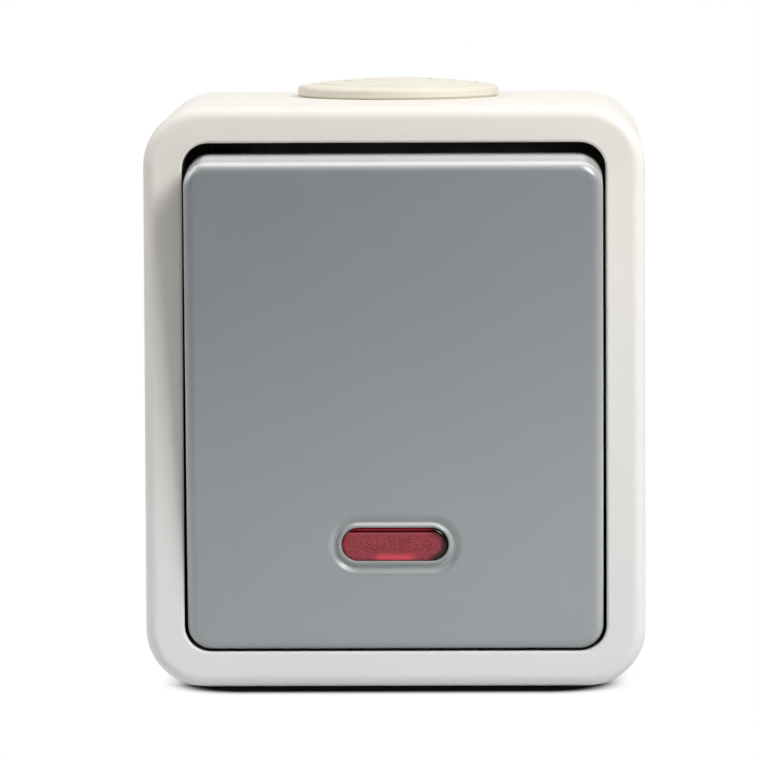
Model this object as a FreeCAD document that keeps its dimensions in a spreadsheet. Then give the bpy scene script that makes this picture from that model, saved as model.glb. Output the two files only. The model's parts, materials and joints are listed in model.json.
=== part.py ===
import FreeCAD, Part
import os
import re

import Sketcher

# Surface-mounted weatherproof rocker switch with a pilot lens, in millimetres.
# The origin is the centre of the wall face. X runs to the right, Z up and -Y out of the wall.
# A height is a distance out from the wall, so the height h lies at y = -h.

SIZES = (
    # Housing
    ("housing_width", 65.0, "across the box and the cover"),
    ("housing_height", 75.5, "from the lower side to the upper side"),
    ("housing_corner", 7.6, "radius of the four outer corners"),
    ("box_depth", 30.0, "from the wall to the seam with the cover"),
    ("box_wall", 2.4, "side walls of the box"),
    ("box_floor", 2.5, "wall that lies against the building"),
    ("rear_round", 0.8, "round on the edge of the wall face"),
    ("seam_chamfer", 0.3, "chamfer on both sides of the seam"),
    ("spigot_height", 3.0, "rim of the box that the cover slips over"),
    ("spigot_wall", 1.1, "thickness of that rim"),
    ("spigot_clearance", 0.1, "between the rim and the cover's skirt"),
    ("gasket_thickness", 1.0, "seal on top of the rim"),
    ("wall_slot_width", 4.6, "slots for the wall screws"),
    ("wall_slot_length", 9.0, "slots for the wall screws"),
    ("wall_slot_inset", 10.2, "from the outer side to the middle of a wall slot"),
    ("wall_collar_rim", 2.0, "width of the raised collar round a wall slot"),
    ("wall_collar_height", 0.8, "raised collar round a wall slot"),
    ("relief_depth", 0.8, "recesses in the wall face"),
    ("relief_corner", 3.0, "recesses in the wall face"),
    ("relief_land", 5.0, "flat strip between the two recesses, half its width"),
    ("relief_side", 14.5, "from the outer side to a recess"),
    ("relief_margin", 2.5, "from a recess to a wall slot"),
    # Cable entries
    ("entry_ahead", 0.5, "from the middle of the box's depth to the axis of the cable entries"),
    ("entry_radius", 11.0, "hole in the top wall"),
    ("knockout_step", 1.0, "how much smaller the scored disc in the lower wall is"),
    ("score_width", 0.8, "groove round the scored disc"),
    ("score_depth", 1.5, "groove round the scored disc"),
    ("flange_lap", 2.4, "how far the grommet's rim covers the wall"),
    ("flange_height", 1.4, "rim of the grommet"),
    ("flange_foot", 0.3, "chamfer under the rim"),
    ("flange_round", 0.5, "upper edge of the rim"),
    ("dome_rise", 1.05, "from the rim up to the middle of the membrane"),
    ("groove_first", 4.3, "radius of the innermost cutting groove"),
    ("groove_step", 3.15, "from one cutting groove to the next"),
    ("groove_depth", 0.4, "cutting grooves"),
    ("groove_half_width", 0.25, "cutting grooves"),
    ("membrane", 1.1, "thickness of the grommet's membrane"),
    ("grommet_fit", 0.1, "between the grommet and the box"),
    ("lip_catch", 1.0, "how far the grommet's lip reaches behind the wall"),
    ("lip_height", 1.2, "straight part of the lip"),
    ("skirt_height", 3.2, "from the top wall down to the end of the grommet"),
    ("skirt_taper", 0.8, "from the hole's edge in to the end of the grommet"),
    ("skirt_wall", 1.0, "wall of the grommet's lower end"),
    # Cover
    ("cover_depth", 20.0, "from the seam to the front of the frame"),
    ("cover_wall", 2.2, "side walls of the cover"),
    ("front_round", 1.6, "round on the outer edge of the frame"),
    ("side_border", 5.05, "width of the frame beside the rocker"),
    ("end_border", 4.65, "width of the frame above and below the rocker"),
    ("opening_corner", 3.4, "corners of the rocker's opening"),
    ("opening_round", 0.4, "front edge of the rocker's opening"),
    ("well_depth", 10.0, "from the front of the frame to the web"),
    ("well_wall", 1.4, "inner wall of the frame's hollow section"),
    ("front_skin", 2.0, "front wall of the frame's hollow section"),
    ("web_thickness", 2.0, "web across the cover"),
    ("window_corner", 2.0, "corners of the window in the web"),
    ("window_room", 1.2, "from the lamp holder to the window's lower edge"),
    ("seal_thickness", 1.2, "seal behind the web"),
    ("seal_lap", 2.0, "how far the seal reaches past the window, all round"),
    # Screws and what they go into
    ("hole_play", 0.2, "round a screw in a through hole"),
    ("thread_fit", 0.05, "round a screw in its thread"),
    ("slot_width", 0.8, "screwdriver slots"),
    ("slot_depth", 0.9, "screwdriver slots"),
    ("cover_screw_inset", 5.8, "from the edges of the opening to a cover screw"),
    ("cover_screw_radius", 1.5, "cover screws"),
    ("cover_screw_length", 12.0, "cover screws, under the head"),
    ("cover_head_radius", 2.5, "cover screws"),
    ("cover_head_height", 1.8, "cover screws"),
    ("boss_radius", 3.0, "posts of the box that take the cover screws"),
    ("insert_screw_inset", 7.0, "from the outer side to an insert screw"),
    ("insert_screw_radius", 1.5, "insert screws"),
    ("insert_screw_length", 7.5, "insert screws, under the head"),
    ("insert_head_radius", 2.7, "insert screws"),
    ("insert_head_height", 1.8, "insert screws"),
    ("pillar_radius", 3.4, "pillars of the box that carry the insert"),
    ("pillar_height", 5.5, "pillars of the box that carry the insert"),
    ("frame_screw_land", 4.0, "space beside the seal for the bearing frame's screws"),
    ("frame_screw_down", 6.0, "bearing frame screws, below the middle"),
    ("frame_screw_radius", 1.0, "bearing frame screws"),
    ("frame_screw_length", 7.5, "bearing frame screws, under the head"),
    ("frame_head_radius", 1.6, "bearing frame screws"),
    ("frame_head_height", 1.2, "bearing frame screws"),
    ("terminal_screw_radius", 1.5, "terminal screws"),
    ("terminal_screw_length", 3.0, "terminal screws, under the head"),
    ("terminal_head_radius", 2.5, "terminal screws"),
    ("terminal_head_height", 1.8, "terminal screws"),
    # Switch insert
    ("head_room", 0.8, "from an insert screw's head to the insert"),
    ("insert_corner", 2.0, "insert base"),
    ("ear_width", 8.0, "ears"),
    ("ear_thickness", 3.0, "ears"),
    ("chamber_side_wall", 5.0, "walls beside the contact chamber"),
    ("chamber_end_wall", 3.0, "walls above and below the contact chamber"),
    ("chamber_depth", 8.0, "contact chamber"),
    ("plate_thickness", 2.5, "plate of the bearing frame"),
    ("plate_margin", 0.5, "from the seal collar to the plate's upper edge"),
    ("collar_wall", 1.6, "seal collar of the bearing frame"),
    ("cheek_room", 1.0, "from the window to a bearing cheek"),
    ("cheek_thickness", 2.5, "bearing cheeks"),
    ("cheek_radius", 4.0, "round head of a bearing cheek"),
    ("axle_radius", 1.5, "axle of the actuator"),
    ("axle_fit", 0.05, "between the axle and its bearings"),
    ("side_play", 0.3, "between the actuator and a cheek"),
    ("plunger_slot_play", 0.6, "round the plunger, in the plate's slot"),
    ("plunger_slot_length", 7.2, "slot in the plate for the plunger"),
    # Contacts
    ("strip_thickness", 0.8, "contact strips"),
    ("strip_width", 5.0, "contact strips"),
    ("strip_room", 0.5, "from a strip's end to the chamber's wall"),
    ("cage_size", 7.0, "terminal cages"),
    ("cage_height", 6.5, "terminal cages"),
    ("cage_end_room", 0.2, "from a cage to the chamber's upper wall"),
    ("cage_side_room", 1.5, "from an outer cage to the chamber's side wall"),
    ("plate_to_terminal", 2.8, "from the plate to a terminal screw's head"),
    ("wire_radius", 1.4, "wire holes in the cages"),
    ("wire_above_strip", 2.1, "axis of the wire holes"),
    ("lever_to_cage", 2.8, "from the lever's end to the middle cage"),
    ("tip_inset", 2.0, "from the lever's end to its contact tip"),
    ("pad_radius", 1.6, "contact rivets"),
    ("pad_height", 0.8, "contact rivets"),
    ("contact_gap", 0.1, "between closed contacts"),
    ("lever_tilt", 8.25, "each way from the middle, in degrees"),
    ("lever_width", 6.0, "contact lever"),
    ("lever_thickness", 0.8, "contact lever"),
    ("lever_offset", 0.2, "from the axis to the back of the lever"),
    ("bead_radius", 0.8, "rounded edge that the lever rocks on"),
    ("bead_fit", 0.08, "between that edge and its saddle"),
    ("saddle_height", 3.6, "saddle of the common contact"),
    # Rocker and what turns with it
    ("rocker_tilt", 5.5, "each way from the middle, in degrees"),
    ("pivot_setback", 8.0, "from the front of the frame back to the axle"),
    ("side_gap", 0.4, "between the rocker and the opening, at the sides"),
    ("end_gap", 1.1, "between the level rocker and the opening, above and below"),
    ("rocker_depth", 9.0, "rocker"),
    ("rocker_corner", 3.2, "rocker"),
    ("rocker_round", 1.4, "front edge of the rocker"),
    ("rocker_wall", 1.8, "side walls of the rocker"),
    ("rocker_skin", 2.0, "front wall of the rocker"),
    ("rocker_proud", 3.25, "face in front of the frame, with the rocker level"),
    ("rib_inset", 11.0, "from the rocker's side to a long rib"),
    ("rib_thickness", 1.2, "ribs inside the rocker"),
    ("rib_height", 2.5, "long ribs inside the rocker"),
    ("rib_gap", 0.6, "from a long rib to the end walls"),
    ("seat_rib_inset", 6.2, "from the actuator's side to a rib that sits on it"),
    ("leg_width", 8.0, "clip legs"),
    ("leg_thickness", 1.6, "clip legs"),
    ("leg_play", 0.15, "between a leg and the actuator"),
    ("leg_to_lens", 3.25, "from a leg to the lens's flange"),
    ("hook_catch", 0.7, "how far a hook reaches under the actuator"),
    ("hook_height", 1.3, "hooks"),
    ("lens_inset", 15.1, "from the opening's lower edge to the middle of the lens"),
    ("lens_length", 13.9, "lens"),
    ("lens_width", 4.4, "lens"),
    ("lens_fit", 0.08, "between the lens and its window"),
    ("lens_proud", 0.1, "lens in front of the rocker's face"),
    ("lens_edge", 0.45, "round on the lens's face"),
    ("lens_flange", 1.2, "flange of the lens behind the rocker's face"),
    ("lens_flange_lip", 1.2, "how far the flange reaches past the window"),
    ("hollow_reach", 1.7, "from the lens's window to the outer edge of the hollow round it"),
    ("hollow_slope", 0.75, "width of the hollow's outer slope"),
    ("hollow_depth", 0.45, "hollow round the lens"),
    ("hollow_round", 0.8, "outer edge of the hollow"),
    ("rim_foot", 0.65, "from the window to the foot of the rim between it and the hollow"),
    ("rim_crest", 0.3, "width of that rim on top"),
    ("rim_round", 0.25, "outer edge of that rim"),
    ("window_round", 0.15, "edge of the lens's window"),
    ("actuator_plate", 2.4, "actuator plate"),
    ("actuator_above", 2.6, "from the axle to the actuator plate"),
    ("hub_half_height", 3.0, "hub of the actuator"),
    ("hub_below", 2.2, "from the axle to the back of the hub"),
    ("barrel_wall", 0.9, "barrel of the actuator"),
    ("barrel_clear", 0.8, "from the barrel's end to the plate"),
    ("bore_above", 1.6, "from the axle to the end of the barrel's bore"),
    ("plunger_radius", 1.6, "plunger"),
    ("plunger_fit", 0.1, "between the plunger and its bore"),
    ("plunger_gap", 0.3, "between the plunger and the lever"),
    ("plunger_inside", 3.2, "length of plunger in the barrel"),
    ("tip_flat", 0.05, "flat left in the middle of the plunger's round tip"),
    ("spring_radius", 1.2, "coil spring, to the middle of the wire"),
    ("spring_wire", 0.2, "coil spring, radius of the wire"),
    ("spring_turns", 5.0, "coil spring"),
    ("spring_play", 0.1, "at each end of the spring"),
    # Pilot lamp
    ("lamp_ahead", 1.5, "from the axle forward to the lamp's axis"),
    ("lamp_radius", 2.1, "lamp"),
    ("lamp_length", 11.0, "lamp"),
    ("lamp_end_round", 1.6, "ends of the lamp"),
    ("lamp_seat_fit", 0.05, "between the lamp and its holder"),
    ("lamp_overhang", 0.3, "how far the lamp stands out of its holder at each end"),
    ("holder_thickness", 5.0, "lamp holder"),
    ("lead_radius", 0.3, "lamp leads"),
    ("lead_bend", 1.5, "lamp leads"),
    ("lead_play", 0.3, "round a lead in the plate"),
    ("lead_margin", 1.7, "from a lead to the end of its strip"),
    ("resistor_radius", 1.2, "resistor"),
    ("resistor_length", 6.3, "resistor"),
    ("resistor_fit", 0.03, "between the resistor and its lead"),
    ("resistor_above", 0.6, "from the plate to the resistor"),
)

NAMES = {name for name, _, _ in SIZES}
TOUCH = 0.001

# Heights above the wall
FRONT = "(box_depth + cover_depth)"
WEB_FRONT = f"({FRONT} - well_depth)"
WEB_BACK = f"({WEB_FRONT} - web_thickness)"
PIVOT = f"({FRONT} - pivot_setback)"
LAMP_AXIS = f"({PIVOT} + lamp_ahead)"
ENTRY_HEIGHT = "(box_depth / 2 + entry_ahead)"
INSERT_SEAT = "(box_floor + pillar_height)"
INSERT_FRONT = "box_depth"
PLATE_FRONT = f"({INSERT_FRONT} + plate_thickness)"
CHAMBER_FLOOR = f"({INSERT_FRONT} - chamber_depth)"
STRIP_FRONT = f"({CHAMBER_FLOOR} + strip_thickness)"
WIRE_AXIS = f"({STRIP_FRONT} + wire_above_strip)"
CAGE_FRONT = f"({STRIP_FRONT} + cage_height)"
LEVER_BACK = f"({STRIP_FRONT} + 2 * pad_height + contact_gap)"
LEVER_AXIS = f"({LEVER_BACK} - lever_offset * cos(lever_tilt))"
LEVER_FRONT = f"({LEVER_BACK} + lever_thickness * cos(lever_tilt))"

# Heights in front of the axle, for the pieces that turn with the rocker
FACE = "(pivot_setback + rocker_proud)"
FACE_BACK = f"({FACE} - rocker_skin)"
ROCKER_BACK = f"({FACE} - rocker_depth)"
PLATE_SEAT = "(actuator_above + actuator_plate)"
BARREL_BELOW = f"({PIVOT} - {PLATE_FRONT} - barrel_clear)"
PLUNGER_BACK = f"({BARREL_BELOW} - plunger_inside)"
TIP_CENTRE = f"(({PIVOT} - {LEVER_FRONT} - plunger_gap - plunger_radius) / cos(rocker_tilt))"

# Housing, opening and rocker, seen from the front
OPENING_WIDTH = "(housing_width - 2 * side_border)"
OPENING_HEIGHT = "(housing_height - 2 * end_border)"
ROCKER_WIDTH = f"({OPENING_WIDTH} - 2 * side_gap)"
ROCKER_HEIGHT = f"({OPENING_HEIGHT} - 2 * end_gap)"
SPIGOT_INSET = "(box_wall - spigot_wall)"
COVER_INSET = f"({SPIGOT_INSET} - spigot_clearance)"
WALL_SLOT_UP = "(housing_height / 2 - wall_slot_inset)"
RELIEF_TOP = f"({WALL_SLOT_UP} - wall_slot_length / 2 - relief_margin)"
COVER_SCREW_ACROSS = f"({OPENING_WIDTH} / 2 - cover_screw_inset)"
COVER_SCREW_UP = f"({OPENING_HEIGHT} / 2 - cover_screw_inset)"
FLANGE_RADIUS = "(entry_radius + flange_lap)"
LENS_DOWN = f"({OPENING_HEIGHT} / 2 - lens_inset)"

# Switch insert, seen from the front
INSERT_SCREW_ACROSS = "(housing_width / 2 - insert_screw_inset)"
INSERT_WIDTH = f"(2 * ({INSERT_SCREW_ACROSS} - insert_head_radius - head_room))"
WINDOW_WIDTH = f"({INSERT_WIDTH} - 2 * (seal_lap + frame_screw_land))"
WINDOW_BOTTOM = f"({LENS_DOWN} + holder_thickness / 2 + window_room)"
INSERT_HEIGHT = f"(2 * ({WINDOW_BOTTOM} + seal_lap))"
CHAMBER_WIDTH = f"({INSERT_WIDTH} - 2 * chamber_side_wall)"
CHAMBER_HEIGHT = f"({INSERT_HEIGHT} - 2 * chamber_end_wall)"
TERMINAL_UP = f"({CHAMBER_HEIGHT} / 2 - cage_end_room - cage_size / 2)"
TERMINAL_PITCH = f"({CHAMBER_WIDTH} / 2 - cage_side_room - cage_size / 2)"
PLATE_TOP = f"({TERMINAL_UP} - terminal_head_radius - plate_to_terminal)"
PLATE_HEIGHT = f"({PLATE_TOP} + {INSERT_HEIGHT} / 2)"
PLATE_UP = f"(({PLATE_TOP} - {INSERT_HEIGHT} / 2) / 2)"
WINDOW_TOP = f"({PLATE_TOP} - plate_margin - seal_lap)"
WINDOW_HEIGHT = f"({WINDOW_TOP} + {WINDOW_BOTTOM})"
WINDOW_UP = f"(({WINDOW_TOP} - {WINDOW_BOTTOM}) / 2)"
COLLAR_WIDTH = f"({WINDOW_WIDTH} + 2 * seal_lap)"
COLLAR_HEIGHT = f"({WINDOW_HEIGHT} + 2 * seal_lap)"
FRAME_SCREW_ACROSS = f"(({INSERT_WIDTH} - frame_screw_land) / 2)"
CHEEK_OUTER = f"({WINDOW_WIDTH} / 2 - cheek_room)"
CHEEK_INNER = f"({CHEEK_OUTER} - cheek_thickness)"
HUB_HALF = f"({CHEEK_INNER} - side_play)"
PLATE_HALF = f"({LENS_DOWN} - lens_width / 2 - lens_flange_lip - leg_to_lens - leg_thickness - leg_play)"
BORE_RADIUS = "(plunger_radius + plunger_fit)"
LEVER_ARM = f"({TERMINAL_UP} - cage_size / 2 - lever_to_cage)"
CONTACT_REACH = f"({LEVER_ARM} - tip_inset)"
STRIP_END = f"({CHAMBER_HEIGHT} / 2 - strip_room)"
STRIP_TAIL = f"({LENS_DOWN} + lead_margin)"

doc = FreeCAD.newDocument("WeatherproofSwitch")
sheet = doc.addObject("Spreadsheet::Sheet", "Sizes")
for row, (name, value, meaning) in enumerate(SIZES, start=1):
    sheet.set(f"A{row}", name)
    sheet.set(f"B{row}", str(value))
    sheet.set(f"C{row}", meaning)
    sheet.setAlias(f"B{row}", name)
doc.recompute()

nodes = []


def refer(formula):
    """Turn the size names in a formula into references to the sheet's cells."""
    return re.sub(r"[a-z_]+", lambda m: f"Sizes.{m[0]}" if m[0] in NAMES else m[0], str(formula))


def number(formula):
    """The present value of a formula."""
    return float(sheet.evalExpression(refer(formula)))


def point(u, v):
    return FreeCAD.Vector(u, v, 0)


def new_body(label, node=True):
    """A body for one piece. A node is written to a file of its own."""
    body = doc.addObject("PartDesign::Body", label)
    body.Label = label
    if node:
        nodes.append(body)
    return body


def place(piece, x="0", height="0", z="0", tilt="0"):
    """Stand a piece at a place in front of the wall, turned about the X direction."""
    turn = FreeCAD.Rotation(FreeCAD.Vector(1, 0, 0), number(tilt))
    piece.Placement = FreeCAD.Placement(FreeCAD.Vector(), turn)
    piece.setExpression("Placement.Base.x", refer(x))
    piece.setExpression("Placement.Base.y", refer(f"-({height})"))
    piece.setExpression("Placement.Base.z", refer(z))
    if tilt != "0":
        piece.setExpression("Placement.Rotation.Angle", refer(tilt))


def group(label, members):
    """Several like solids as one node."""
    compound = doc.addObject("Part::Compound", label)
    compound.Label = label
    compound.Links = members
    nodes.append(compound)
    return compound


# Sketches


def new_sketch(body, plane, offset):
    sketch = body.newObject("Sketcher::SketchObject", f"{body.Name}_sketch")
    support = next(f for f in body.Origin.OriginFeatures if f.Role == plane)
    sketch.AttachmentSupport = [(support, "")]
    sketch.MapMode = "FlatFace"
    sketch.setExpression("AttachmentOffset.Base.z", refer(offset))
    return sketch


def facing(body, height="0"):
    """A sketch parallel to the wall: X across, Z up, its normal out of the wall."""
    return new_sketch(body, "XZ_Plane", height)


def seen_from_side(body, x="0"):
    """A sketch across X: Y across, Z up."""
    return new_sketch(body, "YZ_Plane", x)


def seen_from_above(body, z="0"):
    """A sketch across Z: X across, Y up."""
    return new_sketch(body, "XY_Plane", z)


def dimension(sketch, constraint, formula):
    index = sketch.addConstraint(constraint)
    sketch.setExpression(f"Constraints[{index}]", refer(formula))


def locate(sketch, line, end, u, v):
    """Tie a point of the sketch to its distances from the sketch's origin."""
    dimension(sketch, Sketcher.Constraint("DistanceX", -1, 1, line, end, number(u)), u)
    dimension(sketch, Sketcher.Constraint("DistanceY", -1, 1, line, end, number(v)), v)


def circle(sketch, radius, u="0", v="0"):
    centre = point(number(u), number(v))
    line = sketch.addGeometry(Part.Circle(centre, FreeCAD.Vector(0, 0, 1), number(radius)))
    locate(sketch, line, 3, u, v)
    dimension(sketch, Sketcher.Constraint("Radius", line, number(radius)), radius)


def polygon(sketch, corners):
    """A closed outline of straight lines through the corners given."""
    places = [point(number(u), number(v)) for u, v in corners]
    first = sketch.GeometryCount
    for start, end in zip(places, places[1:] + places[:1]):
        sketch.addGeometry(Part.LineSegment(start, end))
    for index, (u, v) in enumerate(corners):
        before = first + (index - 1) % len(corners)
        sketch.addConstraint(Sketcher.Constraint("Coincident", before, 2, first + index, 1))
        locate(sketch, first + index, 1, u, v)


def rectangle(sketch, left, right, low, high):
    polygon(sketch, [(left, low), (right, low), (right, high), (left, high)])


def hull_of_circles(sketch, centres, radius):
    """A closed outline round like circles, given anticlockwise: arcs joined by tangent lines."""
    spots = [point(number(u), number(v)) for u, v in centres]
    count = len(spots)
    normals = []
    for here, after in zip(spots, spots[1:] + spots[:1]):
        along = (after - here).normalize()
        normals.append(point(along.y, -along.x) * number(radius))
    arcs = []
    lines = []
    for index, spot in enumerate(spots):
        inward = normals[index - 1]
        outward = normals[index]
        middle = inward + outward
        if middle.Length < TOUCH:
            middle = point(-inward.y, inward.x)
        middle = middle.normalize() * number(radius)
        arcs.append(sketch.addGeometry(Part.Arc(spot + inward, spot + middle, spot + outward)))
        after = spots[(index + 1) % count]
        lines.append(sketch.addGeometry(Part.LineSegment(spot + outward, after + outward)))
    for index, (u, v) in enumerate(centres):
        sketch.addConstraint(Sketcher.Constraint("Tangent", arcs[index], 2, lines[index], 1))
        sketch.addConstraint(Sketcher.Constraint("Tangent", lines[index - 1], 2, arcs[index], 1))
        locate(sketch, arcs[index], 3, u, v)
        if index:
            sketch.addConstraint(Sketcher.Constraint("Equal", arcs[0], arcs[index]))
    dimension(sketch, Sketcher.Constraint("Radius", arcs[0], number(radius)), radius)


def rounded(sketch, width, height, corner, u="0", v="0"):
    """A rectangle with round corners."""
    across = f"(({width}) / 2 - ({corner}))"
    up = f"(({height}) / 2 - ({corner}))"
    corners = [(-1, -1), (1, -1), (1, 1), (-1, 1)]
    centres = [(f"{u} + {a} * {across}", f"{v} + {b} * {up}") for a, b in corners]
    hull_of_circles(sketch, centres, corner)


def pill(sketch, length, width, u="0", v="0", upright=False):
    """A slot with round ends, lying across or standing upright."""
    reach = f"(({length}) - ({width})) / 2"
    if upright:
        centres = [(u, f"{v} - {reach}"), (u, f"{v} + {reach}")]
    else:
        centres = [(f"{u} - {reach}", v), (f"{u} + {reach}", v)]
    hull_of_circles(sketch, centres, f"({width}) / 2")


def housing_outline(sketch, inset="0"):
    """The housing's outline, or one inside it."""
    width = f"(housing_width - 2 * ({inset}))"
    height = f"(housing_height - 2 * ({inset}))"
    rounded(sketch, width, height, f"(housing_corner - ({inset}))")


def opening_outline(sketch, grow="0"):
    """The rocker's opening in the frame, or one round it."""
    width = f"({OPENING_WIDTH} + 2 * ({grow}))"
    height = f"({OPENING_HEIGHT} + 2 * ({grow}))"
    rounded(sketch, width, height, f"(opening_corner + ({grow}))")


def lens_outline(sketch, grow):
    """The lens's window in the rocker, or an outline round it."""
    length = f"lens_length + 2 * ({grow})"
    width = f"lens_width + 2 * ({grow})"
    pill(sketch, length, width, "0", f"-{LENS_DOWN}")


# Features


def add_feature(body, kind, sketch, length, flip, both_ways=False):
    feature = body.newObject(f"PartDesign::{kind}", f"{body.Name}_{kind.lower()}")
    feature.Profile = sketch
    feature.setExpression("Length", refer(length))
    feature.Reversed = flip
    if both_ways:
        feature.Midplane = True
    sketch.Visibility = False
    return feature


def pad(body, sketch, length, flip=False, both_ways=False):
    return add_feature(body, "Pad", sketch, length, flip, both_ways)


def pocket(body, sketch, length, flip=False, both_ways=False):
    return add_feature(body, "Pocket", sketch, length, flip, both_ways)


def revolve(body, sketch, axis, angle=360, flip=False):
    feature = body.newObject("PartDesign::Revolution", f"{body.Name}_revolution")
    feature.Profile = sketch
    feature.ReferenceAxis = (sketch, [axis])
    feature.Angle = angle
    feature.Reversed = flip
    return feature


def taper(body, kind, first, last):
    """Add or cut the solid between two like outlines at different heights."""
    feature = body.newObject(f"PartDesign::{kind}Loft", f"{body.Name}_loft")
    feature.Profile = first
    feature.Sections = [last]
    feature.Ruled = True
    return feature


def soften(body, kind, size, wanted):
    """Fillet or chamfer the edges of the body's last feature that are wanted."""
    doc.recompute()
    base = body.Tip
    edges = [f"Edge{i}" for i, edge in enumerate(base.Shape.Edges, 1) if wanted(edge.BoundBox)]
    feature = body.newObject(f"PartDesign::{kind}", f"{body.Name}_{kind.lower()}")
    feature.Base = (base, edges)
    feature.setExpression("Radius" if kind == "Fillet" else "Size", refer(size))
    return feature


def level(height):
    """A test for edges that lie at one height above the wall."""
    y = -number(height)
    return lambda box: abs(box.YMin - y) < TOUCH and abs(box.YMax - y) < TOUCH


def level_within(height, width, tall, v="0"):
    """A test for edges at one height that lie inside a rectangle."""
    at_height = level(height)
    across = number(width) / 2 + TOUCH
    up = number(tall) / 2 + TOUCH
    middle = number(v)

    def wanted(box):
        inside = box.XMax < across and box.XMin > -across
        return at_height(box) and inside and box.ZMax < middle + up and box.ZMin > middle - up

    return wanted


# Housing


def make_back_box():
    box = new_body("back_box")
    outside = facing(box)
    housing_outline(outside)
    pad(box, outside, "box_depth")
    soften(box, "Fillet", "rear_round", level("0"))
    soften(box, "Chamfer", "seam_chamfer", level("box_depth"))

    inside = facing(box, "box_depth")
    housing_outline(inside, "box_wall")
    pocket(box, inside, "box_depth - box_floor")

    rim = facing(box, "box_depth")
    housing_outline(rim, SPIGOT_INSET)
    housing_outline(rim, "box_wall")
    pad(box, rim, "spigot_height")

    pillars = facing(box, "box_floor")
    bosses = facing(box, "box_floor")
    collars = facing(box, "box_floor")
    for side in (-1, 1):
        circle(pillars, "pillar_radius", f"{side} * {INSERT_SCREW_ACROSS}")
        circle(bosses, "boss_radius", f"{side} * {COVER_SCREW_ACROSS}", f"{-side} * {COVER_SCREW_UP}")
        length = "wall_slot_length + 2 * wall_collar_rim"
        width = "wall_slot_width + 2 * wall_collar_rim"
        pill(collars, length, width, "0", f"{side} * {WALL_SLOT_UP}", upright=True)
    pad(box, pillars, "pillar_height")
    pad(box, bosses, f"{WEB_BACK} - box_floor")
    pad(box, collars, "wall_collar_height")

    pillar_holes = facing(box, INSERT_SEAT)
    boss_holes = facing(box, WEB_BACK)
    wall_slots = facing(box, "box_floor + wall_collar_height")
    for side in (-1, 1):
        circle(pillar_holes, "insert_screw_radius + thread_fit", f"{side} * {INSERT_SCREW_ACROSS}")
        across = f"{side} * {COVER_SCREW_ACROSS}"
        circle(boss_holes, "cover_screw_radius + thread_fit", across, f"{-side} * {COVER_SCREW_UP}")
        up = f"{side} * {WALL_SLOT_UP}"
        pill(wall_slots, "wall_slot_length", "wall_slot_width", "0", up, upright=True)
    pocket(box, pillar_holes, "insert_screw_length - ear_thickness + hole_play")
    pocket(box, boss_holes, "cover_screw_length - web_thickness + hole_play")
    pocket(box, wall_slots, "box_floor + wall_collar_height")

    reliefs = facing(box)
    width = "housing_width - 2 * relief_side"
    height = f"{RELIEF_TOP} - relief_land"
    for side in (-1, 1):
        middle = f"{side} * ({RELIEF_TOP} + relief_land) / 2"
        rounded(reliefs, width, height, "relief_corner", "0", middle)
    pocket(box, reliefs, "relief_depth", flip=True)

    entry = seen_from_above(box, "housing_height / 2")
    circle(entry, "entry_radius", "0", f"-{ENTRY_HEIGHT}")
    pocket(box, entry, "box_wall + hole_play")

    score = seen_from_above(box, "-housing_height / 2")
    disc = "entry_radius - knockout_step"
    circle(score, disc, "0", f"-{ENTRY_HEIGHT}")
    circle(score, f"{disc} - score_width", "0", f"-{ENTRY_HEIGHT}")
    pocket(box, score, "score_depth", flip=True)


def make_front_cover():
    cover = new_body("front_cover")
    outside = facing(cover, "box_depth")
    housing_outline(outside)
    pad(cover, outside, "cover_depth")
    soften(cover, "Fillet", "front_round", level(FRONT))
    soften(cover, "Chamfer", "seam_chamfer", level("box_depth"))

    well = facing(cover, FRONT)
    opening_outline(well)
    pocket(cover, well, "well_depth")
    inner_edge = level_within(FRONT, OPENING_WIDTH, OPENING_HEIGHT)
    soften(cover, "Fillet", "opening_round", inner_edge)

    hollow = facing(cover, "box_depth")
    housing_outline(hollow, "cover_wall")
    pocket(cover, hollow, f"{WEB_BACK} - box_depth", flip=True)

    skirt = facing(cover, "box_depth")
    housing_outline(skirt, COVER_INSET)
    pocket(cover, skirt, "spigot_height + gasket_thickness", flip=True)

    core = facing(cover, WEB_BACK)
    housing_outline(core, "cover_wall")
    opening_outline(core, "well_wall")
    pocket(cover, core, f"{FRONT} - front_skin - {WEB_BACK}", flip=True)

    window = facing(cover, WEB_FRONT)
    rounded(window, WINDOW_WIDTH, WINDOW_HEIGHT, "window_corner", "0", WINDOW_UP)
    pocket(cover, window, "web_thickness")

    holes = facing(cover, WEB_FRONT)
    for side in (-1, 1):
        across = f"{side} * {COVER_SCREW_ACROSS}"
        circle(holes, "cover_screw_radius + hole_play", across, f"{-side} * {COVER_SCREW_UP}")
    pocket(cover, holes, "web_thickness")


def make_cover_gasket():
    gasket = new_body("cover_gasket")
    ring = facing(gasket, "box_depth + spigot_height")
    housing_outline(ring, SPIGOT_INSET)
    housing_outline(ring, "box_wall")
    pad(gasket, ring, "gasket_thickness")


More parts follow.
